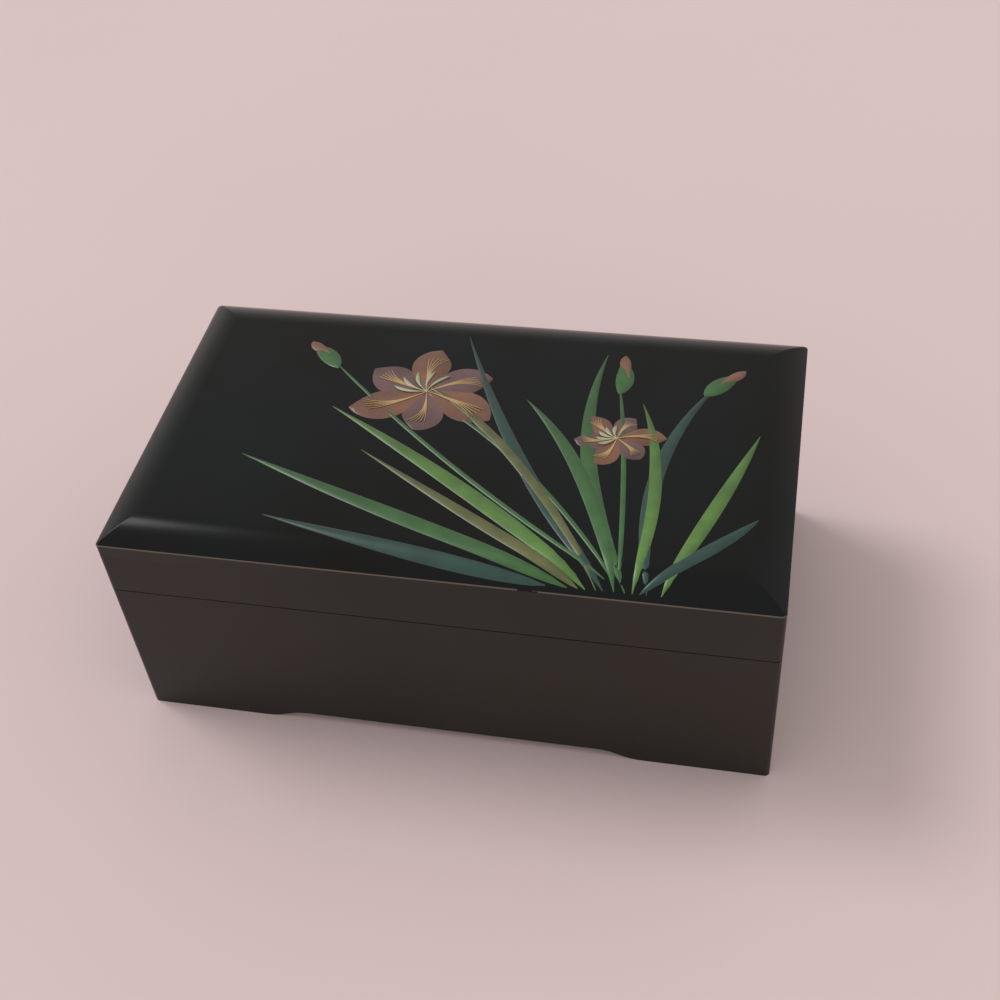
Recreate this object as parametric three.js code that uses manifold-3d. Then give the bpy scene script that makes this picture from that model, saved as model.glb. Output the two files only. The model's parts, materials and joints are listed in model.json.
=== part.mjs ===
// A musical jewelry box in black lacquer: body, hinged lid, compartments and an 18-note movement.
// Millimetres, +Z up, front towards -Y, origin on the floor under the middle of box and hinges.
import * as THREE from "three";
import Module from "manifold-3d";
import { mergeVertices } from "three/addons/utils/BufferGeometryUtils.js";

const wasm = await Module();
wasm.setup();

// Box
const WIDTH = 200;
const DEPTH = 113.6;
const BODY_H = 56;
const SEAM = 0.3;
const CREASE_Z = 75.4;
const TOP_RISE = 4.6;
const BEVEL = 12;
const LID_EDGE = 4;
const WALL = 8;
const CORNER_R = 1.5;
const FLOOR_Z = 14;
const FLOOR_T = 4;
const CLEAR = 0.3;

// Cut-outs under the walls
const FRONT_FOOT = 38;
const SIDE_FOOT = 26;
const OGEE_RUN = 16;
const CUTOUT_H = 3.3;

// Compartments
const MUSIC_W = 62;
const MUSIC_D = 52;
const DIVIDER_T = 4;
const DIVIDER_TOP = 46;
const COVER_T = 2;
const LEDGE_H = 4;
const LEDGE_W = 3;
const PAD_H = 5;
const ROLLS = 3;
const ROLL_R = 6.4;
const ROLL_FLAT = 0.6;

// Lid lining
const MIRROR_Z = 62;
const MIRROR_T = 2;
const LINER_T = 2;
const MIRROR_EDGE = 6;

// Hinges
const HINGE_INSET = 38;
const LEAF_L = 30;
const LEAF_H = 9;
const LEAF_T = 1;
const KNUCKLE_R = 2;
const PIN_R = 0.9;
const MID_KNUCKLE = 10;
const SCREW_X = 9;
const SCREW_R = 0.8;
const SCREW_HEAD_R = 1.6;
const SCREW_HEAD_H = 0.8;
const SCREW_L = 6;

// Movement, measured from the bedplate's underside and the cylinder's middle plane
const PLATE_T = 2;
const PLATE_X = 29;
const PLATE_FRONT = -18;
const PLATE_REAR = 16;
const BARREL_X = -17;
const BARREL_R = 9.5;
const BARREL_TOP = 10;
const BARREL_WALL = 0.8;
const CROWN_R = 8;
const CROWN_TEETH = 32;
const CROWN_FACE = 1.6;
const CROWN_TOOTH = 1.4;
const PINION_TEETH = 8;
const WHEEL_TEETH = 26;
const WHEEL_W = 1.5;
const ADDENDUM = 0.5;
const DEDENDUM = 0.65;
const PITCH_ABOVE = 0.8;
const ARBOR_R = 1;
const CYL_R = 6.5;
const CYL_X0 = -3.5;
const CYL_X1 = 14;
const PIN_H = 0.6;
const NOTES = 18;
const COMB_T = 1;
const COMB_ROOT = 4;
const BRACKET_T = 2;
const FLY_R = 5;
const KEY_ARBOR_R = 1.5;
const STOP_X = 24;
const STOP_Y = -12;
const STOP_R = 1.2;
const GUIDE_WALL = 1.6;
const GUIDE_H = 12;
const FLY_SHAFT = 13.6;
const POST_T = 1.5;
const BEARING_HALF = 4;
const KEY_DROP = 8;
const KEY_HUB_R = 3.2;
const KEY_HUB_Z0 = 5;
const KEY_HUB_Z1 = 12.5;
const KEY_HALF = 10;
const COMB_SCREW_L = 4;

const HALF_W = WIDTH / 2;
const HALF_D = DEPTH / 2;
const IN_X = HALF_W - WALL;
const IN_Y = HALF_D - WALL;
const FLOOR_TOP = FLOOR_Z + FLOOR_T;
const DIVIDER_X = IN_X - MUSIC_W - DIVIDER_T;
const DIVIDER_Y = IN_Y - MUSIC_D - DIVIDER_T;
const HINGE_X = HALF_W - HINGE_INSET;
const MOVE_X = IN_X - MUSIC_W / 2;
const MOVE_Y = IN_Y - MUSIC_D / 2;
const LID_Z = BODY_H + SEAM;
const PANEL_Z = CREASE_Z - LID_EDGE;
const AXIS_Y = HALF_D + KNUCKLE_R + CLEAR;
const AXIS_Z = BODY_H + SEAM / 2;
const CROWN_PITCH = (2 * Math.PI * CROWN_R) / CROWN_TEETH;
const PINION_R = (CROWN_R * PINION_TEETH) / CROWN_TEETH;
const WHEEL_R = (PINION_R * WHEEL_TEETH) / PINION_TEETH;
const CYL_Z = BARREL_TOP + PITCH_ABOVE + PINION_R;
const GOV_Y = PINION_R + WHEEL_R;
const BARREL_Z = PLATE_T + 0.5 + CLEAR;

const finish = (color, roughness, metalness) => ({ color, roughness, metalness });
const LACQUER = finish(0x241e1b, 0.18, 0);
const VELVET = finish(0x5c1220, 0.95, 0);
const BRASS = finish(0xb08d45, 0.32, 1);
const STEEL = finish(0x9a9da0, 0.3, 1);
const GLASS = finish(0xcfd6da, 0.05, 1);
const ACRYLIC = finish(0xdfe8ea, 0.05, 0);

// Solids
function solid(geometry) {
  const bare = geometry.clone();
  bare.deleteAttribute("normal");
  bare.deleteAttribute("uv");
  const merged = mergeVertices(bare, 1e-4);
  return new wasm.Manifold(new wasm.Mesh({
    numProp: 3,
    vertProperties: new Float32Array(merged.attributes.position.array),
    triVerts: new Uint32Array(merged.index.array),
  }));
}

function shaped(body) {
  const mesh = body.getMesh();
  const geometry = new THREE.BufferGeometry();
  geometry.setAttribute("position", new THREE.BufferAttribute(new Float32Array(mesh.vertProperties), 3));
  geometry.setIndex(new THREE.BufferAttribute(new Uint32Array(mesh.triVerts), 1));
  geometry.computeVertexNormals();
  return geometry;
}

function fuse(...pieces) {
  return shaped(pieces.map(solid).reduce((all, next) => all.add(next)));
}

function cut(from, ...tools) {
  return shaped(tools.map(solid).reduce((left, tool) => left.subtract(tool), solid(from)));
}

function block(x0, x1, y0, y1, z0, z1) {
  const geometry = new THREE.BoxGeometry(x1 - x0, y1 - y0, z1 - z0);
  return geometry.translate((x0 + x1) / 2, (y0 + y1) / 2, (z0 + z1) / 2);
}

function rodZ(r, z0, z1, x = 0, y = 0, sides = 24) {
  const geometry = new THREE.CylinderGeometry(r, r, z1 - z0, sides).rotateX(Math.PI / 2);
  return geometry.translate(x, y, (z0 + z1) / 2);
}

function rodX(r, x0, x1, y = 0, z = 0, sides = 24) {
  const geometry = new THREE.CylinderGeometry(r, r, x1 - x0, sides).rotateZ(Math.PI / 2);
  return geometry.translate((x0 + x1) / 2, y, z);
}

function rodY(r, y0, y1, x = 0, z = 0, sides = 16) {
  return new THREE.CylinderGeometry(r, r, y1 - y0, sides).translate(x, (y0 + y1) / 2, z);
}

// A closed stack of rounded rectangles, each given as [inset, height]
function stack(x0, x1, y0, y1, corner, levels) {
  const arc = 4;
  const positions = [];
  const index = [];
  const cx = (x0 + x1) / 2;
  const cy = (y0 + y1) / 2;
  for (const [inset, z] of levels) {
    const r = Math.max(corner - inset, 0.3);
    const hx = (x1 - x0) / 2 - inset - r;
    const hy = (y1 - y0) / 2 - inset - r;
    [[1, 1], [-1, 1], [-1, -1], [1, -1]].forEach(([sx, sy], quarter) => {
      for (let i = 0; i <= arc; i++) {
        const a = (quarter + i / arc) * (Math.PI / 2);
        positions.push(cx + sx * hx + r * Math.cos(a), cy + sy * hy + r * Math.sin(a), z);
      }
    });
  }
  const ring = 4 * (arc + 1);
  for (let level = 0; level + 1 < levels.length; level++) {
    for (let i = 0; i < ring; i++) {
      const a = level * ring + i;
      const b = level * ring + ((i + 1) % ring);
      index.push(a, b, b + ring, a, b + ring, a + ring);
    }
  }
  const low = positions.length / 3;
  positions.push(cx, cy, levels[0][1], cx, cy, levels[levels.length - 1][1]);
  const top = (levels.length - 1) * ring;
  for (let i = 0; i < ring; i++) {
    const next = (i + 1) % ring;
    index.push(low, next, i, low + 1, top + i, top + next);
  }
  const geometry = new THREE.BufferGeometry();
  geometry.setAttribute("position", new THREE.Float32BufferAttribute(positions, 3));
  geometry.setIndex(index);
  geometry.computeVertexNormals();
  return geometry;
}

// A full-width bar with its two outer upright edges rounded; side is -1 in front, 1 at the back
function longBar(side, z0, z1) {
  const shape = new THREE.Shape();
  shape.moveTo(-HALF_W, 0);
  shape.lineTo(HALF_W, 0);
  shape.lineTo(HALF_W, WALL - CORNER_R);
  shape.absarc(HALF_W - CORNER_R, WALL - CORNER_R, CORNER_R, 0, Math.PI / 2, false);
  shape.lineTo(-HALF_W + CORNER_R, WALL);
  shape.absarc(-HALF_W + CORNER_R, WALL - CORNER_R, CORNER_R, Math.PI / 2, Math.PI, false);
  const bar = new THREE.ExtrudeGeometry(shape, { depth: z1 - z0, bevelEnabled: false, curveSegments: 5 });
  if (side < 0) bar.rotateZ(Math.PI);
  return bar.translate(0, side * IN_Y, z0);
}

// The ogee-ended space under a wall, long along X
function cutout(halfLength, foot) {
  const outer = halfLength - foot;
  const inner = outer - OGEE_RUN;
  const shape = new THREE.Shape();
  shape.moveTo(-outer, -1);
  shape.lineTo(outer, -1);
  shape.lineTo(outer, 0);
  shape.bezierCurveTo(outer - OGEE_RUN / 2, 0, outer - OGEE_RUN / 2, CUTOUT_H, inner, CUTOUT_H);
  shape.lineTo(-inner, CUTOUT_H);
  shape.bezierCurveTo(-outer + OGEE_RUN / 2, CUTOUT_H, -outer + OGEE_RUN / 2, 0, -outer, 0);
  const depth = WALL + 2;
  const space = new THREE.ExtrudeGeometry(shape, { depth, bevelEnabled: false, curveSegments: 8 });
  return space.rotateX(Math.PI / 2).translate(0, depth / 2, 0);
}

// Screw holes that the hinge leaves and the wood share
function hingeHoles(z) {
  const holes = [];
  for (const hinge of [-HINGE_X, HINGE_X]) {
    for (const dx of [-SCREW_X, SCREW_X]) {
      holes.push(rodY(SCREW_R + CLEAR, HALF_D - SCREW_L - CLEAR, HALF_D + 2, hinge + dx, z));
    }
  }
  return holes;
}

const LEAF_Z = KNUCKLE_R + LEAF_H / 2;
const MOVEMENT_SCREWS = [[-26, -14], [26, -15], [25, 2]];

function frontWall() {
  return cut(longBar(-1, 0, BODY_H), cutout(HALF_W, FRONT_FOOT).translate(0, -HALF_D + WALL / 2, 0));
}

function backWall() {
  const space = cutout(HALF_W, FRONT_FOOT).translate(0, HALF_D - WALL / 2, 0);
  return cut(longBar(1, 0, BODY_H), space, ...hingeHoles(AXIS_Z - LEAF_Z));
}

function sideWall(side) {
  const space = cutout(HALF_D, SIDE_FOOT).rotateZ(Math.PI / 2).translate(side * (HALF_W - WALL / 2), 0, 0);
  const x0 = side < 0 ? -HALF_W : IN_X;
  return cut(block(x0, x0 + WALL, -IN_Y, IN_Y, 0, BODY_H), space);
}

function bottomPanel() {
  const holes = MOVEMENT_SCREWS.map(([x, y]) =>
    rodZ(SCREW_R + CLEAR, FLOOR_Z - 1, FLOOR_TOP + 1, MOVE_X + x, MOVE_Y + y, 16));
  const keyHole = rodZ(KEY_ARBOR_R + CLEAR, FLOOR_Z - 1, FLOOR_TOP + 1, MOVE_X + BARREL_X, MOVE_Y);
  return cut(block(-IN_X, IN_X, -IN_Y, IN_Y, FLOOR_Z, FLOOR_TOP), keyHole, ...holes);
}

function musicCover() {
  const x0 = DIVIDER_X + DIVIDER_T;
  const y0 = DIVIDER_Y + DIVIDER_T;
  const plate = block(x0, IN_X, y0, IN_Y, DIVIDER_TOP - COVER_T, DIVIDER_TOP);
  const hole = rodZ(STOP_R + CLEAR, DIVIDER_TOP - COVER_T - 1, DIVIDER_TOP + 1, MOVE_X + STOP_X, MOVE_Y + STOP_Y);
  return cut(plate, hole);
}

function floorPad() {
  const levels = [[1.2, 0], [0.4, 1], [0.3, 2.4], [1, 3.6], [3, 4.3], [8, 4.8], [24, PAD_H]];
  return stack(-IN_X, DIVIDER_X, -IN_Y, IN_Y, 4, levels.map(([d, h]) => [d, FLOOR_TOP + h]));
}

function ringRoll() {
  const half = (IN_X - DIVIDER_X - DIVIDER_T) / 2 - CLEAR;
  const outline = [[0, -half], [0.7, -half], [0.94, -half + 2.5], [1, -half + 8], [1, half - 8],
    [0.94, half - 2.5], [0.7, half], [0, half]];
  const profile = outline.map(([share, along]) => new THREE.Vector2(share * ROLL_R, along));
  const roll = new THREE.LatheGeometry(profile, 24).rotateZ(Math.PI / 2);
  return cut(roll, block(-half - 1, half + 1, -2 * ROLL_R, 2 * ROLL_R, -2 * ROLL_R, ROLL_FLAT - ROLL_R));
}

function lidPanel() {
  const steps = 6;
  const levels = [[0, PANEL_Z], [0, CREASE_Z]];
  for (let i = 1; i <= steps; i++) {
    const t = i / steps;
    levels.push([BEVEL * t, CREASE_Z + TOP_RISE * (1 - (1 - t) ** 2)]);
  }
  return stack(-HALF_W, HALF_W, -HALF_D, HALF_D, CORNER_R, levels);
}

function lidSideRail(side) {
  const x0 = side < 0 ? -HALF_W : IN_X;
  return block(x0, x0 + WALL, -IN_Y, IN_Y, LID_Z, PANEL_Z);
}

// A leaf lies on the back face; up is 1 on the lid and -1 on the body
function hingeLeaf(up) {
  const back = -KNUCKLE_R - CLEAR;
  const half = LEAF_L / 2;
  const mid = MID_KNUCKLE / 2;
  const span = (low, high) => [Math.min(low, high), Math.max(low, high)];
  const [p0, p1] = span(up * KNUCKLE_R, up * (KNUCKLE_R + LEAF_H));
  const [w0, w1] = span(up * CLEAR, up * (KNUCKLE_R + 0.5));
  const spans = up > 0 ? [[-mid, mid]] : [[-half, -mid - CLEAR], [mid + CLEAR, half]];
  const parts = [block(-half, half, back, back + LEAF_T, p0, p1)];
  for (const [x0, x1] of spans) {
    parts.push(rodX(KNUCKLE_R, x0, x1));
    parts.push(block(x0, x1, back, back + LEAF_T, w0, w1));
  }
  const holes = [-SCREW_X, SCREW_X].map((x) => rodY(SCREW_R + CLEAR, back - 1, back + 2, x, up * LEAF_Z));
  return cut(fuse(...parts), rodX(PIN_R + CLEAR, -half - 1, half + 1), ...holes);
}

function hingePin() {
  const half = LEAF_L / 2;
  const head = 0.8;
  return fuse(
    rodX(PIN_R, -half - head, half + head),
    rodX(PIN_R * 1.9, -half - head, -half),
    rodX(PIN_R * 1.9, half, half + head),
  );
}

// A slotted pan-head screw along +Z, its head's underside at 0
function screw(length) {
  const body = fuse(rodZ(SCREW_R, -length, 0.1, 0, 0, 12), rodZ(SCREW_HEAD_R, 0, SCREW_HEAD_H, 0, 0, 16));
  return cut(body, block(-3, 3, -0.25, 0.25, SCREW_HEAD_H - 0.35, SCREW_HEAD_H + 1));
}

// Movement
function gear(teeth, pitchR, width, phase, bore) {
  const step = (2 * Math.PI) / teeth;
  const shape = new THREE.Shape();
  for (let i = 0; i < teeth; i++) {
    const middle = phase + i * step;
    const corners = [[-0.24, -DEDENDUM], [-0.12, ADDENDUM], [0.12, ADDENDUM], [0.24, -DEDENDUM]];
    corners.forEach(([share, rise], k) => {
      const a = middle + share * step;
      const x = (pitchR + rise) * Math.cos(a);
      const y = (pitchR + rise) * Math.sin(a);
      if (i === 0 && k === 0) shape.moveTo(x, y);
      else shape.lineTo(x, y);
    });
  }
  const wheel = new THREE.ExtrudeGeometry(shape, { depth: width, bevelEnabled: false });
  wheel.rotateY(Math.PI / 2);
  return bore > 0 ? cut(wheel, rodX(bore, -1, width + 1)) : wheel;
}

function combLedge() {
  return block(CYL_X0 - 0.5, CYL_X1 + 0.3, PLATE_FRONT, PLATE_FRONT + COMB_ROOT, PLATE_T - 0.5, CYL_Z - COMB_T / 2);
}

const COMB_SCREW_X = [CYL_X0 + 4, CYL_X1 - 4];
const COMB_SCREW_Y = PLATE_FRONT + COMB_ROOT / 2;

function bedplate() {
  const plate = block(-PLATE_X, PLATE_X, PLATE_FRONT, PLATE_REAR, 0, PLATE_T);
  const holes = MOVEMENT_SCREWS.map(([x, y]) => rodZ(SCREW_R + CLEAR, -1, PLATE_T + 1, x, y, 16));
  const combHoles = COMB_SCREW_X.map((x) => rodZ(SCREW_R + CLEAR, 5, CYL_Z + 1, x, COMB_SCREW_Y, 16));
  const arborHole = rodZ(KEY_ARBOR_R + CLEAR, -1, PLATE_T + 1, BARREL_X, 0);
  return cut(fuse(plate, combLedge()), arborHole, ...holes, ...combHoles);
}

function comb() {
  const tip = -(CYL_R + PIN_H + CLEAR);
  const x0 = CYL_X0 - 0.5;
  const x1 = CYL_X1 + 0.3;
  const plate = block(x0, x1, PLATE_FRONT, tip, -COMB_T / 2, COMB_T / 2);
  const tools = COMB_SCREW_X.map((x) => rodZ(SCREW_R + CLEAR, -2, 2, x, COMB_SCREW_Y, 16));
  const pitch = (x1 - x0) / NOTES;
  for (let i = 1; i < NOTES; i++) {
    const root = PLATE_FRONT + COMB_ROOT + 0.3 + (2.4 * i) / NOTES;
    tools.push(block(x0 + i * pitch - 0.15, x0 + i * pitch + 0.15, root, tip + 1, -2, 2));
  }
  return cut(plate, ...tools);
}

// The tune pins stand on a helix of uneven steps
function cylinder() {
  const barrel = rodX(CYL_R, CYL_X0, CYL_X1, 0, 0, 40);
  const arbor = rodX(ARBOR_R, CYL_X0 - 7.5, CYL_X1 + 7);
  const pitch = (CYL_X1 - CYL_X0 - 0.6) / NOTES;
  const pins = [];
  for (let note = 0; note < NOTES; note++) {
    for (let beat = 0; beat < 3; beat++) {
      const a = note * 2.4 + beat * 2.1 + (note % 3) * 0.35;
      const pin = block(-0.15, 0.15, -0.15, 0.15, CYL_R - 0.4, CYL_R + PIN_H).rotateX(a);
      pins.push(pin.translate(CYL_X0 + 0.3 + (note + 0.5) * pitch, 0, 0));
    }
  }
  return fuse(barrel, arbor, ...pins);
}

function bearing(rearY) {
  const top = CYL_Z + ARBOR_R + 2;
  const plate = block(-BRACKET_T / 2, BRACKET_T / 2, -BEARING_HALF, rearY, PLATE_T, top);
  const holes = [rodX(ARBOR_R + CLEAR, -3, 3, 0, CYL_Z)];
  if (rearY > GOV_Y) holes.push(rodX(ARBOR_R + CLEAR, -3, 3, GOV_Y, CYL_Z));
  return cut(plate, ...holes);
}

function governorPost() {
  const post = block(-POST_T / 2, POST_T / 2, GOV_Y - 2.5, GOV_Y + 2.5, PLATE_T, CYL_Z + 3);
  return cut(post, rodX(ARBOR_R + CLEAR, -3, 3, GOV_Y, CYL_Z));
}

// The air-brake shaft: pinion, arbor and two vanes in one
function governorFly(x0) {
  const pinion = gear(PINION_TEETH, PINION_R, WHEEL_W, -Math.PI / 2 + Math.PI / PINION_TEETH, 0);
  const vanes = block(6.5, 11.5, -0.4, 0.4, -FLY_R, FLY_R);
  return fuse(pinion, rodX(ARBOR_R, 0, FLY_SHAFT), vanes).translate(x0, 0, 0);
}

function springBarrel() {
  const shell = rodZ(BARREL_R, BARREL_Z, BARREL_TOP, 0, 0, 40);
  const hollow = rodZ(BARREL_R - BARREL_WALL, BARREL_Z + 1, BARREL_TOP - 1, 0, 0, 40);
  const bore = rodZ(KEY_ARBOR_R + CLEAR, BARREL_Z - 1, BARREL_TOP + 1);
  const profile = new THREE.Shape();
  profile.moveTo(-0.24 * CROWN_PITCH, -0.1);
  profile.lineTo(0.24 * CROWN_PITCH, -0.1);
  profile.lineTo(0.12 * CROWN_PITCH, CROWN_TOOTH);
  profile.lineTo(-0.12 * CROWN_PITCH, CROWN_TOOTH);
  const teeth = [];
  for (let i = 0; i < CROWN_TEETH; i++) {
    const tooth = new THREE.ExtrudeGeometry(profile, { depth: CROWN_FACE, bevelEnabled: false });
    tooth.translate(0, 0, -CROWN_FACE / 2).rotateX(Math.PI / 2).rotateZ(Math.PI / 2);
    tooth.translate(CROWN_R, 0, BARREL_TOP).rotateZ((i * 2 * Math.PI) / CROWN_TEETH);
    teeth.push(tooth);
  }
  return fuse(cut(shell, hollow, bore), ...teeth);
}

function mainspring() {
  const turns = 6;
  const perTurn = 20;
  const strip = 0.35;
  const inner = KEY_ARBOR_R + 2 * CLEAR;
  const outer = BARREL_R - BARREL_WALL - CLEAR - strip;
  const at = (i, extra) => {
    const a = (i / perTurn) * 2 * Math.PI;
    const r = inner + ((outer - inner) * i) / (turns * perTurn) + extra;
    return new THREE.Vector2(r * Math.cos(a), r * Math.sin(a));
  };
  const points = [];
  for (let i = 0; i <= turns * perTurn; i++) points.push(at(i, 0));
  for (let i = turns * perTurn; i >= 0; i--) points.push(at(i, strip));
  const depth = BARREL_TOP - BARREL_Z - 2 - 2 * CLEAR;
  return new THREE.ExtrudeGeometry(new THREE.Shape(points), { depth, bevelEnabled: false });
}

function windingArbor() {
  const tip = -(FLOOR_TOP - KEY_DROP);
  return fuse(rodZ(KEY_ARBOR_R, tip, BARREL_TOP - 1.6), rodZ(3, PLATE_T, PLATE_T + 0.5));
}

function windingKey() {
  const hub = rodZ(KEY_HUB_R, KEY_HUB_Z0, KEY_HUB_Z1);
  const wing = stack(-KEY_HALF, KEY_HALF, -0.9, 0.9, 0.9, [[0.3, 2], [0, 2.6], [0, 8.4], [0.3, 9]]);
  return cut(fuse(hub, wing), rodZ(KEY_ARBOR_R + CLEAR, KEY_DROP - CLEAR, KEY_HUB_Z1 + 1));
}

function stopPin() {
  const foot = PLATE_T + 2;
  return rodZ(STOP_R, foot, MIRROR_Z - CLEAR - FLOOR_TOP);
}

function stopGuide() {
  return cut(rodZ(STOP_R + GUIDE_WALL, PLATE_T, PLATE_T + GUIDE_H), rodZ(STOP_R + CLEAR, PLATE_T + 1, PLATE_T + GUIDE_H + 1));
}

// Assembly
const box = new THREE.Group();
box.name = "musical_jewelry_box";
box.position.y = -(AXIS_Y + KNUCKLE_R - HALF_D) / 2;

function add(parent, name, geometry, look, x = 0, y = 0, z = 0) {
  const mesh = new THREE.Mesh(geometry, new THREE.MeshStandardMaterial(look));
  mesh.name = name;
  mesh.position.set(x, y, z);
  parent.add(mesh);
  return mesh;
}

add(box, "front_wall", frontWall(), LACQUER);
add(box, "back_wall", backWall(), LACQUER);
add(box, "left_wall", sideWall(-1), LACQUER);
add(box, "right_wall", sideWall(1), LACQUER);
add(box, "bottom_panel", bottomPanel(), LACQUER);
add(box, "long_divider", block(DIVIDER_X, DIVIDER_X + DIVIDER_T, -IN_Y, IN_Y, FLOOR_TOP, DIVIDER_TOP), VELVET);
const crossX = DIVIDER_X + DIVIDER_T;
const crossY = DIVIDER_Y + DIVIDER_T;
add(box, "cross_divider", block(crossX, IN_X, DIVIDER_Y, crossY, FLOOR_TOP, DIVIDER_TOP), VELVET);
add(box, "floor_pad", floorPad(), VELVET);
const rollPitch = (DIVIDER_Y + IN_Y) / ROLLS;
for (let i = 0; i < ROLLS; i++) {
  const y = -IN_Y + (i + 0.5) * rollPitch;
  add(box, `ring_roll_${i + 1}`, ringRoll(), VELVET, (crossX + IN_X) / 2, y, FLOOR_TOP + ROLL_R - ROLL_FLAT);
}
const coverZ = DIVIDER_TOP - COVER_T;
add(box, "cover_ledge_front", block(crossX, IN_X, crossY, crossY + LEDGE_W, coverZ - LEDGE_H, coverZ), LACQUER);
add(box, "cover_ledge_rear", block(crossX, IN_X, IN_Y - LEDGE_W, IN_Y, coverZ - LEDGE_H, coverZ), LACQUER);
add(box, "music_cover", musicCover(), ACRYLIC);

const lid = new THREE.Group();
lid.name = "lid_assembly";
box.add(lid);
add(lid, "lid_panel", lidPanel(), LACQUER);
add(lid, "lid_front_rail", longBar(-1, LID_Z, PANEL_Z), LACQUER);
add(lid, "lid_back_rail", cut(longBar(1, LID_Z, PANEL_Z), ...hingeHoles(AXIS_Z + LEAF_Z)), LACQUER);
add(lid, "lid_left_rail", lidSideRail(-1), LACQUER);
add(lid, "lid_right_rail", lidSideRail(1), LACQUER);
const linerZ = MIRROR_Z + MIRROR_T;
add(lid, "lid_liner", block(-IN_X, IN_X, -IN_Y, IN_Y, linerZ, linerZ + LINER_T), VELVET);
const mirrorX = IN_X - MIRROR_EDGE;
const mirrorY = IN_Y - MIRROR_EDGE;
add(lid, "lid_mirror", block(-mirrorX, mirrorX, -mirrorY, mirrorY, MIRROR_Z, linerZ), GLASS);

for (const [side, x] of [["left", -HINGE_X], ["right", HINGE_X]]) {
  add(box, `hinge_${side}_body_leaf`, hingeLeaf(-1), BRASS, x, AXIS_Y, AXIS_Z);
  add(lid, `hinge_${side}_lid_leaf`, hingeLeaf(1), BRASS, x, AXIS_Y, AXIS_Z);
  add(box, `hinge_${side}_pin`, hingePin(), BRASS, x, AXIS_Y, AXIS_Z);
  for (const [part, up] of [["body", -1], ["lid", 1]]) {
    [-SCREW_X, SCREW_X].forEach((dx, i) => {
      const parent = up > 0 ? lid : box;
      const name = `hinge_${side}_${part}_screw_${i + 1}`;
      const piece = add(parent, name, screw(SCREW_L), BRASS, x + dx, HALF_D + LEAF_T, AXIS_Z + up * LEAF_Z);
      piece.rotation.x = -Math.PI / 2;
    });
  }
}

const movement = new THREE.Group();
movement.name = "movement";
movement.position.set(MOVE_X, MOVE_Y, FLOOR_TOP);
box.add(movement);
const wheelX = CYL_X1 + 1;
const rightBearing = CYL_X1 + 5;
add(movement, "bedplate", bedplate(), STEEL);
add(movement, "comb", comb(), STEEL, 0, 0, CYL_Z);
COMB_SCREW_X.forEach((x, i) => {
  add(movement, `comb_screw_${i + 1}`, screw(COMB_SCREW_L), BRASS, x, COMB_SCREW_Y, CYL_Z + COMB_T / 2);
});
add(movement, "bearing_left", bearing(BEARING_HALF), BRASS, CYL_X0 - 2);
add(movement, "bearing_right", bearing(GOV_Y + 3), BRASS, rightBearing);
add(movement, "pinned_cylinder", cylinder(), BRASS, 0, 0, CYL_Z);
const pinionX = BARREL_X + CROWN_R - WHEEL_W / 2;
const pinion = gear(PINION_TEETH, PINION_R, WHEEL_W, Math.PI / PINION_TEETH, ARBOR_R + 0.1);
add(movement, "cylinder_pinion", pinion, STEEL, pinionX, 0, CYL_Z);
const wheel = gear(WHEEL_TEETH, WHEEL_R, WHEEL_W, Math.PI / 2, ARBOR_R + CLEAR);
add(movement, "cylinder_wheel", wheel, BRASS, wheelX, 0, CYL_Z);
add(movement, "governor_fly", governorFly(wheelX), STEEL, 0, GOV_Y, CYL_Z);
add(movement, "governor_post", governorPost(), BRASS, wheelX + FLY_SHAFT - POST_T / 2);
add(movement, "spring_barrel", springBarrel(), BRASS, BARREL_X);
add(movement, "mainspring", mainspring(), STEEL, BARREL_X, 0, BARREL_Z + 1 + CLEAR);
add(movement, "winding_arbor", windingArbor(), STEEL, BARREL_X);
add(movement, "winding_key", windingKey(), BRASS, BARREL_X, 0, -FLOOR_TOP);
add(movement, "stop_pin", stopPin(), STEEL, STOP_X, STOP_Y);
add(movement, "stop_guide", stopGuide(), BRASS, STOP_X, STOP_Y);
MOVEMENT_SCREWS.forEach(([x, y], i) => {
  const piece = add(movement, `movement_screw_${i + 1}`, screw(FLOOR_T + 1.6), STEEL, x, y, -FLOOR_T);
  piece.rotation.x = Math.PI;
});

export default box;
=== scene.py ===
# The looks of the musical jewelry box: lacquer, raised plant decoration, velvet, brass and steel
import json
import math

import bpy
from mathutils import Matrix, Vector


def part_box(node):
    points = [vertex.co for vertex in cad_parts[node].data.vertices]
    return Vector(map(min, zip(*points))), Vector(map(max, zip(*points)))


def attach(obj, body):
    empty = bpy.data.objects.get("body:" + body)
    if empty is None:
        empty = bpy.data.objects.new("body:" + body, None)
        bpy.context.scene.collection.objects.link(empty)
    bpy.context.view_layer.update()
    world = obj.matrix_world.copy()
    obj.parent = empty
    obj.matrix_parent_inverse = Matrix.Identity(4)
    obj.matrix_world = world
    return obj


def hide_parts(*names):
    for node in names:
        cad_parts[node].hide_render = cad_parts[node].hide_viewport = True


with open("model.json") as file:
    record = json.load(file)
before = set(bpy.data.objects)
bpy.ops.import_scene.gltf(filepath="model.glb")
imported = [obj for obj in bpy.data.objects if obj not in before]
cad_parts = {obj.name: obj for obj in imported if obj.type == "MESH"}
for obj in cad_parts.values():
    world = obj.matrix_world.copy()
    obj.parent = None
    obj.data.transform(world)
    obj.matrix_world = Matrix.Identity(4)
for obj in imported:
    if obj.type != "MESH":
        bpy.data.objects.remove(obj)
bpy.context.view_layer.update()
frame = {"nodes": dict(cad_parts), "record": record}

NODES = frame["nodes"]
MM = 0.001

# The camera, fitted to the box's edges in the photograph. Its place is in metres from the floor
# under the middle of the lid, its turn in degrees, and its lens and sensor in millimetres
CAMERA_AT = (0.09268, -0.31078, 0.38048)
CAMERA_TURN = (44.199, 3.931, 11.11)
LENS = 52.2
SENSOR = 36

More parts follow.
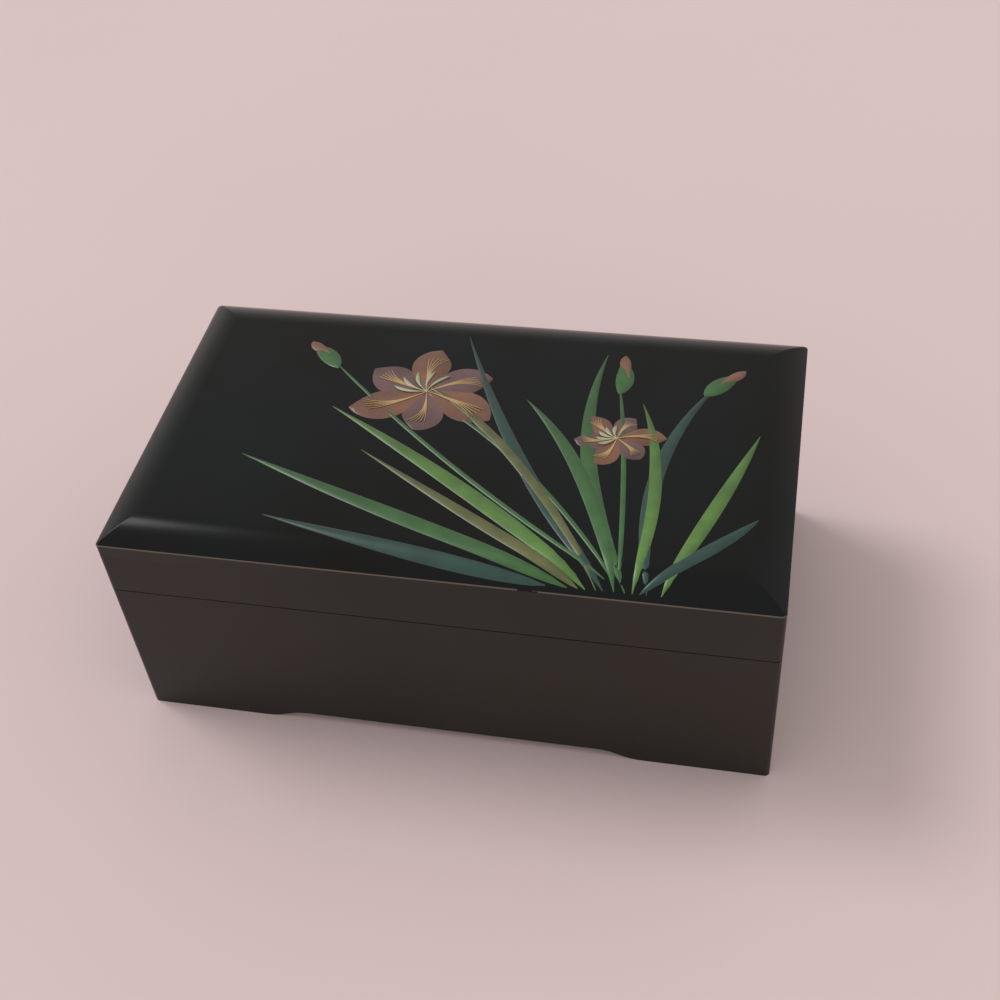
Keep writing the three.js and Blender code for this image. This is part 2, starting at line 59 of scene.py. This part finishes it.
# The lid, measured from its node. A face counts as upright below this slope of its normal
LID_LOW, LID_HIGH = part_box("lid_panel")
HALF_W = LID_HIGH[0]
HALF_D = (LID_HIGH[1] - LID_LOW[1]) / 2
MID_Y = (LID_HIGH[1] + LID_LOW[1]) / 2
LID_BASE = LID_LOW[2]
LID_TOP = LID_HIGH[2]
CREASE_RISE = 4 * MM
CREASE_Z = LID_BASE + CREASE_RISE
BEVEL = 12 * MM
BEVEL_STEPS = 24
CORNER_R = 1.5 * MM
LEAST_CORNER = 0.0003
UPRIGHT = 0.01

# The worn line on the lid's front crease: half its height, how far back it reaches, its colour,
# and the noise that breaks it up
WEAR_LINE = 0.00024
WEAR_REACH = 0.001
WEAR_COLOUR = (0.11, 0.085, 0.065, 1)
WEAR_NOISE = 25
WEAR_START = 0.42

# Surfaces: the part of a noise that is used, how much finer bumps are, and the lacquers' shine
NOISE_LOW = 0.3
NOISE_HIGH = 0.7
GRAIN_FINER = 4
STROKE_FINER = 3
STROKE_DETAIL = 6
STROKE_DARK = (0.8, 0.8, 0.8)
STROKE_LIGHT = (1.12, 1.12, 1.12)
LACQUER_NOISE = 14
LID_SPECULAR = 0.15
BODY_SPECULAR = 0.34


# Meshes
def mesh_object(name, points, faces, smooth_below=30):
    mesh = bpy.data.meshes.new(name)
    mesh.from_pydata([tuple(p) for p in points], [], faces)
    mesh.update()
    mesh.shade_smooth()
    mesh.set_sharp_from_angle(angle=math.radians(smooth_below))
    obj = bpy.data.objects.new(name, mesh)
    bpy.context.collection.objects.link(obj)
    return obj


def stack(name, x0, x1, y0, y1, corner, levels, arc=6):
    """A closed stack of rounded rectangles, each given as (inset, height)."""
    points, faces = [], []
    cx, cy = (x0 + x1) / 2, (y0 + y1) / 2
    for inset, z in levels:
        r = max(corner - inset, LEAST_CORNER)
        hx = (x1 - x0) / 2 - inset - r
        hy = (y1 - y0) / 2 - inset - r
        for quarter, (sx, sy) in enumerate([(1, 1), (-1, 1), (-1, -1), (1, -1)]):
            for i in range(arc + 1):
                a = (quarter + i / arc) * math.pi / 2
                points.append((cx + sx * hx + r * math.cos(a), cy + sy * hy + r * math.sin(a), z))
    ring = 4 * (arc + 1)
    for level in range(len(levels) - 1):
        for i in range(ring):
            a = level * ring + i
            b = level * ring + (i + 1) % ring
            faces.append((a, b, b + ring, a + ring))
    faces.append(tuple(reversed(range(ring))))
    faces.append(tuple(range((len(levels) - 1) * ring, len(levels) * ring)))
    return mesh_object(name, points, faces)


# Materials
def new_material(name):
    material = bpy.data.materials.new(name)
    material.use_nodes = True
    tree = material.node_tree
    return material, tree, tree.nodes["Principled BSDF"]


def noise(tree, scale, detail=4, stretch=(1, 1, 1)):
    coords = tree.nodes.new("ShaderNodeTexCoord")
    mapping = tree.nodes.new("ShaderNodeMapping")
    mapping.inputs["Scale"].default_value = stretch
    texture = tree.nodes.new("ShaderNodeTexNoise")
    texture.inputs["Scale"].default_value = scale
    texture.inputs["Detail"].default_value = detail
    tree.links.new(coords.outputs["Object"], mapping.inputs["Vector"])
    tree.links.new(mapping.outputs["Vector"], texture.inputs["Vector"])
    return texture.outputs["Fac"]


def ramp(tree, factor, low, high, start=0.35, end=0.65):
    node = tree.nodes.new("ShaderNodeValToRGB")
    node.color_ramp.elements[0].position = start
    node.color_ramp.elements[0].color = (*low, 1)
    node.color_ramp.elements[1].position = end
    node.color_ramp.elements[1].color = (*high, 1)
    tree.links.new(factor, node.inputs["Fac"])
    return node.outputs["Color"]


def spread(tree, factor, low, high):
    node = tree.nodes.new("ShaderNodeMapRange")
    node.inputs["From Min"].default_value = NOISE_LOW
    node.inputs["From Max"].default_value = NOISE_HIGH
    node.inputs["To Min"].default_value = low
    node.inputs["To Max"].default_value = high
    tree.links.new(factor, node.inputs["Value"])
    return node.outputs["Result"]


def bump(tree, shader, height, strength, distance):
    node = tree.nodes.new("ShaderNodeBump")
    node.inputs["Strength"].default_value = strength
    node.inputs["Distance"].default_value = distance
    tree.links.new(height, node.inputs["Height"])
    tree.links.new(node.outputs["Normal"], shader.inputs["Normal"])


def math_node(tree, operation, a, b):
    node = tree.nodes.new("ShaderNodeMath")
    node.operation = operation
    for socket, value in zip(node.inputs, (a, b)):
        if isinstance(value, (int, float)):
            socket.default_value = value
        else:
            tree.links.new(value, socket)
    return node.outputs["Value"]


def surface(name, low, high, rough, scale, metal=0.0, stretch=(1, 1, 1), grain=0.1, depth=0.0001):
    """Colour between low and high, and roughness between the two of rough, by one noise."""
    material, tree, shader = new_material(name)
    factor = noise(tree, scale, stretch=stretch)
    tree.links.new(ramp(tree, factor, low, high), shader.inputs["Base Color"])
    tree.links.new(spread(tree, factor, *rough), shader.inputs["Roughness"])
    shader.inputs["Metallic"].default_value = metal
    bump(tree, shader, noise(tree, scale * GRAIN_FINER, stretch=stretch), grain, depth)
    return material


def rub_crease(tree, shader):
    """Lays a broken pale line over the colour along the lid's front crease."""
    coords = tree.nodes.new("ShaderNodeTexCoord")
    split = tree.nodes.new("ShaderNodeSeparateXYZ")
    tree.links.new(coords.outputs["Object"], split.inputs["Vector"])
    above = math_node(tree, "SUBTRACT", split.outputs["Z"], CREASE_Z)
    off = math_node(tree, "ABSOLUTE", above, 0)
    line = math_node(tree, "LESS_THAN", off, WEAR_LINE)
    front = math_node(tree, "LESS_THAN", split.outputs["Y"], MID_Y - HALF_D + WEAR_REACH)
    patchy = math_node(tree, "GREATER_THAN", noise(tree, WEAR_NOISE), WEAR_START)
    worn = math_node(tree, "MULTIPLY", line, front)
    mask = math_node(tree, "MULTIPLY", worn, patchy)
    mix = tree.nodes.new("ShaderNodeMix")
    mix.data_type = "RGBA"
    unworn = shader.inputs["Base Color"].links[0].from_socket
    tree.links.new(mask, mix.inputs["Factor"])
    tree.links.new(unworn, mix.inputs["A"])
    mix.inputs["B"].default_value = WEAR_COLOUR
    tree.links.new(mix.outputs["Result"], shader.inputs["Base Color"])


def lacquer(name, low, high, rough, wear=False):
    """Black lacquer with faint tone changes; wear makes it the lid's, with its rubbed crease."""
    material = surface(name, low, high, rough, LACQUER_NOISE, grain=0.04, depth=0.00005)
    tree = material.node_tree
    shader = tree.nodes["Principled BSDF"]
    shader.inputs["Specular IOR Level"].default_value = LID_SPECULAR if wear else BODY_SPECULAR
    if wear:
        rub_crease(tree, shader)
    return material


def painted(name, rough, scale):
    """Paint whose colour is the piece's own, with darker and lighter strokes."""
    material, tree, shader = new_material(name)
    tint = tree.nodes.new("ShaderNodeVertexColor")
    tint.layer_name = "tint"
    shade = ramp(tree, noise(tree, scale, STROKE_DETAIL), STROKE_DARK, STROKE_LIGHT)
    mix = tree.nodes.new("ShaderNodeMix")
    mix.data_type = "RGBA"
    mix.blend_type = "MULTIPLY"
    mix.inputs["Factor"].default_value = 1
    tree.links.new(tint.outputs["Color"], mix.inputs["A"])
    tree.links.new(shade, mix.inputs["B"])
    tree.links.new(mix.outputs["Result"], shader.inputs["Base Color"])
    shader.inputs["Roughness"].default_value = rough
    bump(tree, shader, noise(tree, scale * STROKE_FINER), 0.15, 0.0001)
    return material


def velvet():
    material = surface("velvet", (0.07, 0.004, 0.012), (0.15, 0.012, 0.028), (0.85, 1.0), 900,
                       grain=0.5)
    shader = material.node_tree.nodes["Principled BSDF"]
    shader.inputs["Sheen Weight"].default_value = 0.6
    shader.inputs["Sheen Roughness"].default_value = 0.4
    return material


def acrylic():
    material = surface("acrylic", (0.8, 0.86, 0.88), (0.86, 0.9, 0.92), (0.03, 0.08), 40,
                       grain=0.02)
    shader = material.node_tree.nodes["Principled BSDF"]
    shader.inputs["Transmission Weight"].default_value = 1
    shader.inputs["IOR"].default_value = 1.49
    return material


LOOKS = {
    "lacquer": lacquer("lacquer_body", (0.007, 0.0075, 0.006), (0.013, 0.011, 0.0075), (0.3, 0.42)),
    "velvet": velvet(),
    "brass": surface("brass", (0.46, 0.29, 0.08), (0.62, 0.42, 0.14), (0.22, 0.4), 220, 1.0),
    "steel": surface("steel", (0.36, 0.37, 0.39), (0.5, 0.51, 0.53), (0.25, 0.42), 300, 1.0,
                     (1, 12, 12)),
    "mirror": surface("mirror", (0.8, 0.82, 0.83), (0.84, 0.86, 0.87), (0.01, 0.03), 20, 1.0,
                      grain=0.0),
    "acrylic": acrylic(),
}
# The lid's top lacquer is a darker copy of the body lacquer whose noise turns it teal: painted
# shade and painted reflection
LID_SHADED_LACQUER = lacquer("lacquer_lid_painted_shade", (0.004, 0.004, 0.0035), (0.004, 0.0075, 0.0075), (0.14, 0.2),
                      wear=True)
PAINT = painted("raised_paint", 0.34, 140)


def dress_nodes():
    """Gives each CAD node the look that its material slot names."""
    for entry in frame["record"]["subparts"]:
        node = NODES[entry["node"]]
        look = LOOKS[entry["material_slot"]]
        if not node.material_slots:
            node.data.materials.append(look)
        for place in node.material_slots:
            place.link = "OBJECT"
            place.material = look


# The lid's top, with its bevel in fine steps
def bevel_height(share):
    """The top's height at a share of the bevel's width in from its edge."""
    return CREASE_Z + (LID_TOP - CREASE_Z) * (1 - (1 - share) ** 2)


def lid_height(x, y):
    inset = min(HALF_W - abs(x), HALF_D - abs(y))
    return bevel_height(max(0.0, min(1.0, inset / BEVEL)))


def lid_top():
    levels = [(0.0, LID_BASE), (0.0, CREASE_Z)]
    for i in range(1, BEVEL_STEPS + 1):
        share = i / BEVEL_STEPS
        levels.append((BEVEL * share, bevel_height(share)))
    top = stack("lid_top", -HALF_W, HALF_W, MID_Y - HALF_D, MID_Y + HALF_D, CORNER_R, levels)
    # The top and bevel faces get the darker, teal-toned lid lacquer as painted shade and painted
    # reflection; the upright faces keep the body lacquer
    top.data.materials.append(LID_SHADED_LACQUER)
    top.data.materials.append(LOOKS["lacquer"])
    for face in top.data.polygons:
        upright = abs(face.normal.z) < UPRIGHT
        face.material_index = 1 if upright else 0
    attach(top, "lid")
    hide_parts("lid_panel")


# Raised decoration: curved tapering strips that follow the lid's surface
STRIP_RISE = 0.12 * MM
LAYER = 0.012 * MM
STRIP_STEPS = 22
STRIP_SECTION = ((-1, -0.3), (-0.8, 1.0), (0, 1.25), (0.8, 1.0), (1, -0.3))
LEAST_HALF = 0.12
LIT_FADE = 0.35
DARK_SIDE = 0.8
DARK_FADE = 0.3


def quadratic(a, b, c, t):
    return a * (1 - t) ** 2 + b * 2 * t * (1 - t) + c * t * t


def strip(points, faces, tints, line, width, tint, layer, fullness=0.8, widest=0.4):
    """Adds one strip along a start, a bend and an end, in millimetres from the lid's middle."""
    a, b, c = (Vector(p) for p in line)
    first = len(points)
    for i in range(STRIP_STEPS + 1):
        t = i / STRIP_STEPS
        here = quadratic(a, b, c, t)
        along = (b - a) * 2 * (1 - t) + (c - b) * 2 * t
        side = Vector((-along.y, along.x)).normalized()
        swell = math.sin(math.pi * t ** (math.log(0.5) / math.log(widest)))
        half = max(LEAST_HALF, width / 2 * abs(swell) ** fullness)
        for across, rise in STRIP_SECTION:
            spot = (here + side * half * across) * MM
            x = max(-HALF_W, min(HALF_W, spot.x))
            y = max(-HALF_D, min(HALF_D, spot.y))
            points.append((x, y + MID_Y, lid_height(x, y) + STRIP_RISE * rise + LAYER * layer))
            shade = 1.0 - LIT_FADE * t if across >= 0 else DARK_SIDE - DARK_FADE * t
            tints.append(tuple(v * shade for v in tint))
    row = len(STRIP_SECTION)
    for i in range(STRIP_STEPS):
        for k in range(row - 1):
            p = first + i * row + k
            faces.append((p, p + 1, p + row + 1, p + row))


def painted_piece(name, strips):
    points, faces, tints = [], [], []
    for layer, item in enumerate(strips):
        strip(points, faces, tints, layer=layer, **item)
    obj = mesh_object(name, points, faces, 60)
    colours = obj.data.color_attributes.new("tint", "FLOAT_COLOR", "POINT")
    for entry, tint in zip(colours.data, tints):
        entry.color = (*tint, 1)
    obj.data.materials.append(PAINT)
    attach(obj, "lid")


TEAL = (0.012, 0.055, 0.042)
MID_GREEN = (0.035, 0.12, 0.028)
BRIGHT = (0.085, 0.2, 0.035)
OLIVE = (0.11, 0.12, 0.035)
BROWN = (0.2, 0.085, 0.05)
MAUVE = (0.15, 0.075, 0.075)
CREAM = (0.42, 0.43, 0.27)
GOLD = (0.5, 0.34, 0.14)

# Where leaves and stems start, in millimetres from the lid's middle
LEAF_ROOT_Y = -55
STEM_ROOT_Y = -52


def leaves():
    # Where each starts along the front, its bend, its tip, its width and its colour
    shapes = [
        (62, (52, -6), (74, 30), 4.6, TEAL),
        (56, (30, -4), (38, 40), 5, MID_GREEN),
        (50, (18, -18), (-8, 44), 4.4, TEAL),
        (45, (4, -22), (-44, 6), 5, BRIGHT),
        (40, (-14, -38), (-66, -18), 5, MID_GREEN),
        (66, (80, -18), (88, 8), 4.4, BRIGHT),
        (34, (-12, -50), (-52, -42), 4.6, TEAL),
        (58, (64, -10), (52, 18), 4, BRIGHT),
        (48, (12, 6), (-22, 22), 3.2, OLIVE),
        (53, (40, -8), (16, 16), 4.6, MID_GREEN),
        (60, (84, -34), (90, -26), 4, TEAL),
        (43, (16, -40), (-30, -12), 3.8, OLIVE),
    ]
    painted_piece("painted_leaves", [
        {"line": ((root, LEAF_ROOT_Y), bend, tip), "width": width, "tint": tint}
        for root, bend, tip, width, tint in shapes])


def stems():
    shapes = [
        (52, (20, -6), (-16, 14)),
        (54, (50, -4), (44, 24)),
        (50, (0, -20), (-48, 26)),
    ]
    painted_piece("painted_stems", [
        {"line": ((root, STEM_ROOT_Y), bend, tip), "width": 1.6, "tint": MID_GREEN,
         "fullness": 0.3}
        for root, bend, tip in shapes])


# A bloom's parts. Turns are in radians, vein and filament widths in millimetres, and each reach
# and the petal width are shares of the bloom's size or of its petal's reach
PETALS = 6
SHORT_PETAL = 0.86
PETAL_TURN = 0.22
PETAL_WIDTH = 0.5
PETAL_TIP_UP = 0.78
PETAL_BEND = (0.55, 0.5)
VEIN_TURNS = (-0.16, -0.08, 0.0, 0.08, 0.16)
VEIN_END = (0.8, 0.62)
VEIN_WIDTH = 0.35
FILAMENTS = 5
FILAMENT_STEP = 0.5
FILAMENT_TURN = 0.4
FILAMENT_END = (0.42, 0.36)
FILAMENT_BEND = (0.25, 0.2)
FILAMENT_WIDTH = 1.3


def around(centre, angle, reach_x, reach_y):
    return (centre[0] + reach_x * math.cos(angle), centre[1] + reach_y * math.sin(angle))


def bloom(name, centre, size, turn):
    """An open trumpet flower: pointed petals, gold veins and cream filaments."""
    shapes, veins = [], []
    for i in range(PETALS):
        a = turn + i * 2 * math.pi / PETALS
        reach = size * (1.0 if i % 2 else SHORT_PETAL)
        tip = around(centre, a, reach, reach * PETAL_TIP_UP)
        middle = around(centre, a + PETAL_TURN, reach * PETAL_BEND[0], reach * PETAL_BEND[1])
        shapes.append({"line": (centre, middle, tip), "width": size * PETAL_WIDTH,
                       "tint": BROWN if i % 2 else MAUVE, "widest": 0.55})
        for offset in VEIN_TURNS:
            end = around(centre, a + offset, reach * VEIN_END[0], reach * VEIN_END[1])
            veins.append({"line": (centre, middle, end), "width": VEIN_WIDTH, "tint": GOLD,
                          "fullness": 0.3})
    for i in range(FILAMENTS):
        a = turn + FILAMENT_STEP + i * FILAMENT_STEP
        end = around(centre, a, size * FILAMENT_END[0], size * FILAMENT_END[1])
        bend = around(centre, a + FILAMENT_TURN, size * FILAMENT_BEND[0], size * FILAMENT_BEND[1])
        veins.append({"line": (centre, bend, end), "width": FILAMENT_WIDTH, "tint": CREAM,
                      "widest": 0.7})
    painted_piece(name, shapes + veins)


# A bud's brown tip ends where its green part ends, times these in x and in y
BUD_TIP = (1.02, 1.06)


def buds():
    lines = [
        ((44, 22), (46, 30), (43, 38)),
        ((-47, 24), (-52, 31), (-58, 34)),
        ((70, 24), (74, 30), (80, 35)),
    ]
    shapes = []
    for base, middle, end in lines:
        tip = (end[0] * BUD_TIP[0], end[1] * BUD_TIP[1])
        shapes.append({"line": (base, middle, end), "width": 6, "tint": MID_GREEN,
                       "widest": 0.45})
        shapes.append({"line": (middle, end, tip), "width": 3.6, "tint": BROWN, "widest": 0.5})
    painted_piece("painted_buds", shapes)


# Velvet pads. The cushion's profile is an inset in millimetres and a share of its height
CUSHION_PROFILE = (
    (1.6, 0), (0.8, 0.08), (0.4, 0.25), (0.3, 0.45), (0.7, 0.66),
    (1.8, 0.8), (4, 0.88), (9, 0.94), (18, 0.98), (28, 1.0),
)
CUSHION_CORNER = 5 * MM
ROLLS = 3
ROLL_SIDES = 40
ROLL_STEPS = 28
ROLL_END_DROP = 0.42
ROLL_END_POWER = 9
ROLL_RIPPLE = 0.012
ROLL_RIPPLES = 6


def floor_cushion():
    low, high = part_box("floor_pad")
    height = high[2] - low[2]
    levels = [(inset * MM, low[2] + height * share) for inset, share in CUSHION_PROFILE]
    pad = stack("floor_cushion", low[0], high[0], low[1], high[1], CUSHION_CORNER, levels)
    pad.data.materials.append(LOOKS["velvet"])
    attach(pad, "box")
    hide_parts("floor_pad")


def roll_cushion(number):
    node = f"ring_roll_{number}"
    low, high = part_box(node)
    half = (high[0] - low[0]) / 2
    radius = (high[1] - low[1]) / 2
    cx, cy = (low[0] + high[0]) / 2, (low[1] + high[1]) / 2
    cz = high[2] - radius
    points, faces = [], []
    for i in range(ROLL_STEPS + 1):
        t = -1 + 2 * i / ROLL_STEPS
        drawn = 1 - ROLL_END_DROP * abs(t) ** ROLL_END_POWER
        r = radius * drawn * (1 - ROLL_RIPPLE * math.cos(ROLL_RIPPLES * math.pi * t))
        for k in range(ROLL_SIDES):
            a = k * 2 * math.pi / ROLL_SIDES
            z = max(low[2], cz + r * math.sin(a))
            points.append((cx + t * half, cy + r * math.cos(a), z))
    for i in range(ROLL_STEPS):
        for k in range(ROLL_SIDES):
            a, b = i * ROLL_SIDES + k, i * ROLL_SIDES + (k + 1) % ROLL_SIDES
            faces.append((a, a + ROLL_SIDES, b + ROLL_SIDES, b))
    last = ROLL_STEPS * ROLL_SIDES
    faces.append(tuple(range(ROLL_SIDES)))
    faces.append(tuple(reversed(range(last, last + ROLL_SIDES))))
    roll = mesh_object(f"roll_cushion_{number}", points, faces, 50)
    roll.data.materials.append(LOOKS["velvet"])
    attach(roll, "box")
    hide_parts(node)


# Stage and light. The floor's half width and the sun's place are in metres, its angle in degrees
FLOOR_HALF = 40
WORLD_COLOUR = (1, 0.97, 0.94, 1)
WORLD_STRENGTH = 0.76
SUN_AT = (-1.0, 0.32, 1.3)
SUN_ANGLE = 24
SUN_ENERGY = 1.2


def stage():
    corners = [(-FLOOR_HALF, -FLOOR_HALF, 0), (FLOOR_HALF, -FLOOR_HALF, 0),
               (FLOOR_HALF, FLOOR_HALF, 0), (-FLOOR_HALF, FLOOR_HALF, 0)]
    floor = mesh_object("floor", corners, [(0, 1, 2, 3)])
    floor.data.materials.append(
        surface("floor_paper", (0.63, 0.505, 0.505), (0.65, 0.52, 0.52), (0.9, 1.0), 3, grain=0.0))
    world = bpy.data.worlds.new("studio")
    bpy.context.scene.world = world
    world.use_nodes = True
    background = world.node_tree.nodes["Background"]
    background.inputs["Color"].default_value = WORLD_COLOUR
    background.inputs["Strength"].default_value = WORLD_STRENGTH
    key = bpy.data.lights.new("key", "SUN")
    key.angle = math.radians(SUN_ANGLE)
    key.energy = SUN_ENERGY
    lamp = bpy.data.objects.new("key", key)
    lamp.location = SUN_AT
    lamp.rotation_euler = (Vector((0, 0, 0)) - lamp.location).to_track_quat("-Z", "Y").to_euler()
    bpy.context.collection.objects.link(lamp)


def camera():
    data = bpy.data.cameras.new("camera")
    data.lens = LENS
    data.sensor_width = SENSOR
    obj = bpy.data.objects.new("camera", data)
    obj.location = Vector(CAMERA_AT) + Vector((0, MID_Y, 0))
    obj.rotation_euler = [math.radians(a) for a in CAMERA_TURN]
    bpy.context.collection.objects.link(obj)
    scene = bpy.context.scene
    scene.camera = obj
    scene.view_settings.view_transform = "Standard"


camera()
stage()
dress_nodes()
lid_top()
leaves()
stems()
bloom("painted_bloom_large", (-16, 16), 26, 0.5)
bloom("painted_bloom_small", (46, 2), 15, 1.2)
buds()
floor_cushion()
for count in range(1, ROLLS + 1):
    roll_cushion(count)
